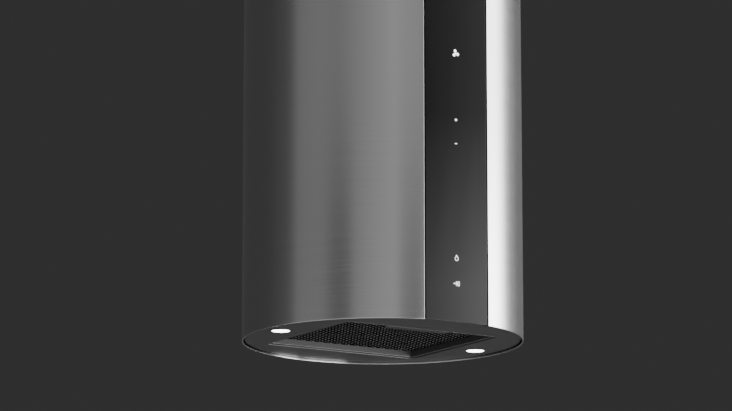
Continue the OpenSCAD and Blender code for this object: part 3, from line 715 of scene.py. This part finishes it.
def make_latch():
    """The filter's grip: a thin tapering tab, its two stems and their heads."""
    low, high = LATCH_LOW, LATCH_HIGH
    tab_d, tab_t, slope = 14 * MM, 1.5 * MM, 5 * MM
    back = low.y + tab_d
    outline = [(low.x, low.y), (high.x, low.y), (high.x - slope, back), (low.x + slope, back)]
    bm = plate_mesh([outline], low.z, tab_t, PLATE_SOFT)
    stem_x, stem_half, stem_d, head_half, head_d = 33 * MM, 3 * MM, 4 * MM, 6 * MM, 5 * MM
    stem_soft, head_soft = 0.2 * MM, 0.3 * MM
    y = low.y + 0.8 * MM
    for x in (-stem_x, stem_x):
        add_box(bm, (x - stem_half, y, low.z + tab_t / 2),
                (x + stem_half, y + stem_d, high.z - tab_t / 2), stem_soft)
        add_box(bm, (x - head_half, y, high.z - tab_t), (x + head_half, y + head_d, high.z), head_soft)
    finish_mesh("filter_grip", bm, MATERIALS["steel_plate"], "filter_latch",
                ["latch_slider"], flats=True)


# ---------------------------------------------------------------- camera, floor and lights

CAMERA_SIDE = math.radians(32.0)     # the front faces this far to the viewer's right
CAMERA_DOWN = math.radians(9.5)      # how far the camera stands below the rim
CAMERA_DISTANCE = 5.0
LENS_MM = 177.3
SENSOR_MM = 36.0
AIM_UP = 0.1934
AIM_LEFT = 0.0231
FLOOR_DROP = 1.65
FLOOR_R = 6.0
WORLD_LEVEL = 0.035

TO_CAMERA = Vector((-math.sin(CAMERA_SIDE), -math.cos(CAMERA_SIDE), 0))
VIEW_RIGHT = Vector((math.cos(CAMERA_SIDE), -math.sin(CAMERA_SIDE), 0))


def make_camera():
    """The camera, below the rim and to the left of the glass."""
    data = bpy.data.cameras.new("camera")
    data.lens = LENS_MM
    data.sensor_width = SENSOR_MM
    camera = bpy.data.objects.new("camera", data)
    bpy.context.scene.collection.objects.link(camera)
    rim = Vector((0, 0, RIM_Z))
    away = TO_CAMERA * math.cos(CAMERA_DOWN) - Vector((0, 0, math.sin(CAMERA_DOWN)))
    camera.location = rim + away * CAMERA_DISTANCE
    aim = rim + Vector((0, 0, AIM_UP)) - VIEW_RIGHT * AIM_LEFT
    camera.rotation_euler = (aim - camera.location).to_track_quat("-Z", "Y").to_euler()
    bpy.context.scene.camera = camera


# The light wall: brightness by bearing, in degrees from the camera towards the viewer's right,
# below the rim, at the height mirrored near the rim and at the height mirrored near the top
WALL_STOPS = [
    (-180, 0.13, 0.09, 0.09), (-168, 0.13, 0.065, 0.065), (-150, 0.10, 0.06, 0.06),
    (-105, 0.10, 0.065, 0.065), (-87, 0.3, 0.085, 0.085), (-79, 0.6, 0.10, 0.10),
    (-71, 0.8, 0.22, 0.23), (-50, 0.8, 0.22, 0.25), (-35, 0.8, 0.09, 0.24),
    (-27, 0.8, 0.11, 0.27), (-21, 0.8, 0.29, 0.30), (0, 0.8, 0.38, 0.38), (9, 0.7, 0.43, 0.46),
    (17, 0.4, 0.21, 0.40), (29, 0.3, 0.12, 0.38), (38, 6.0, 0.4, 0.3), (61, 7.0, 0.85, 0.18),
    (66, 7.0, 2.8, 0.85), (71, 5.0, 2.8, 1.0), (76, 0.3, 2.8, 2.0), (80, 9, 9.5, 6.5), (95, 9, 12, 6.5),
    (103, 4, 12, 8), (112, 0.3, 4.2, 3.8), (118, 0.12, 0.6, 0.62), (127, 0.12, 0.31, 0.33),
    (146, 0.12, 0.17, 0.18), (160, 0.13, 0.15, 0.15), (180, 0.13, 0.09, 0.09),
]
WALL_R = 3.0
WALL_ROWS = ((-2.4, 1), (-0.95, 1), (-0.6, 2), (-0.33, 2), (0.05, 3), (2.0, 3))  # height, column


def wall_level(bearing, column):
    """The wall's brightness at a bearing, eased between its stops."""
    for a, b in zip(WALL_STOPS, WALL_STOPS[1:]):
        if a[0] <= bearing <= b[0]:
            t = (bearing - a[0]) / (b[0] - a[0])
            t = t * t * (3 - 2 * t)
            return a[column] + (b[column] - a[column]) * t
    return WALL_STOPS[0][column]


def make_light_wall():
    """A round wall of soft light about the hood, which the camera doesn't see."""
    count = 360
    bm = bmesh.new()
    level = bm.verts.layers.float.new("level")
    rings = []
    for z, column in WALL_ROWS:
        ring = []
        for i in range(count):
            bearing = -180 + 360 * i / count
            a = math.radians(bearing)
            out = TO_CAMERA * math.cos(a) + VIEW_RIGHT * math.sin(a)
            vert = bm.verts.new(out * WALL_R + Vector((0, 0, z)))
            vert[level] = wall_level(bearing, column)
            ring.append(vert)
        rings.append(ring)
    for a, b in zip(rings, rings[1:]):
        for i in range(count):
            j = (i + 1) % count
            bm.faces.new((a[i], a[j], b[j], b[i]))
    mesh = bpy.data.meshes.new("light_wall")
    bm.to_mesh(mesh)
    bm.free()
    wall = bpy.data.objects.new("light_wall", mesh)
    bpy.context.scene.collection.objects.link(wall)
    mat = bpy.data.materials.new("light_wall")
    mat.use_nodes = True
    nodes, links = mat.node_tree.nodes, mat.node_tree.links
    nodes.clear()
    value = nodes.new("ShaderNodeAttribute")
    value.attribute_name = "level"
    glow = nodes.new("ShaderNodeEmission")
    links.new(value.outputs["Fac"], glow.inputs["Strength"])
    out_node = nodes.new("ShaderNodeOutputMaterial")
    links.new(glow.outputs[0], out_node.inputs["Surface"])
    mesh.materials.append(mat)
    wall.visible_camera = False
    wall.visible_shadow = False


def make_floor():
    """A plain pale floor, well below the hood, that can be seen through from underneath."""
    bm = bmesh.new()
    bmesh.ops.create_circle(bm, cap_ends=True, segments=96, radius=FLOOR_R)
    mesh = bpy.data.meshes.new("floor")
    bm.to_mesh(mesh)
    bm.free()
    floor = bpy.data.objects.new("floor", mesh)
    bpy.context.scene.collection.objects.link(floor)
    floor.location.z = RIM_Z - FLOOR_DROP
    mat, nodes, links, shader = new_material("floor")
    patches = noise(nodes, links, 2.0)
    links.new(greys(nodes, links, patches, FLOOR_TONE), shader.inputs["Base Color"])
    shader.inputs["Roughness"].default_value = FLOOR_ROUGH
    clear = nodes.new("ShaderNodeBsdfTransparent")
    facing = nodes.new("ShaderNodeNewGeometry")
    mix = nodes.new("ShaderNodeMixShader")
    links.new(facing.outputs["Backfacing"], mix.inputs[0])
    links.new(shader.outputs[0], mix.inputs[1])
    links.new(clear.outputs[0], mix.inputs[2])
    links.new(mix.outputs[0], nodes["Material Output"].inputs["Surface"])
    mesh.materials.append(mat)


def make_world(level):
    """An even dark grey all round."""
    world = bpy.data.worlds.new("studio")
    world.use_nodes = True
    world.node_tree.nodes["Background"].inputs["Color"].default_value = (level, level, level, 1)
    bpy.context.scene.world = world


make_camera()
make_floor()
make_world(WORLD_LEVEL)
make_light_wall()

# ---------------------------------------------------------------- build everything

for node, obj in frame["nodes"].items():
    obj.data.materials.clear()
    obj.data.materials.append(MATERIALS[NODE_SLOTS[node]])

make_lower_shell()
make_upper_cover()
make_glass()
make_seal()
make_bottom_plate()
make_lamp(-1, "left")
make_lamp(1, "right")
make_latch()
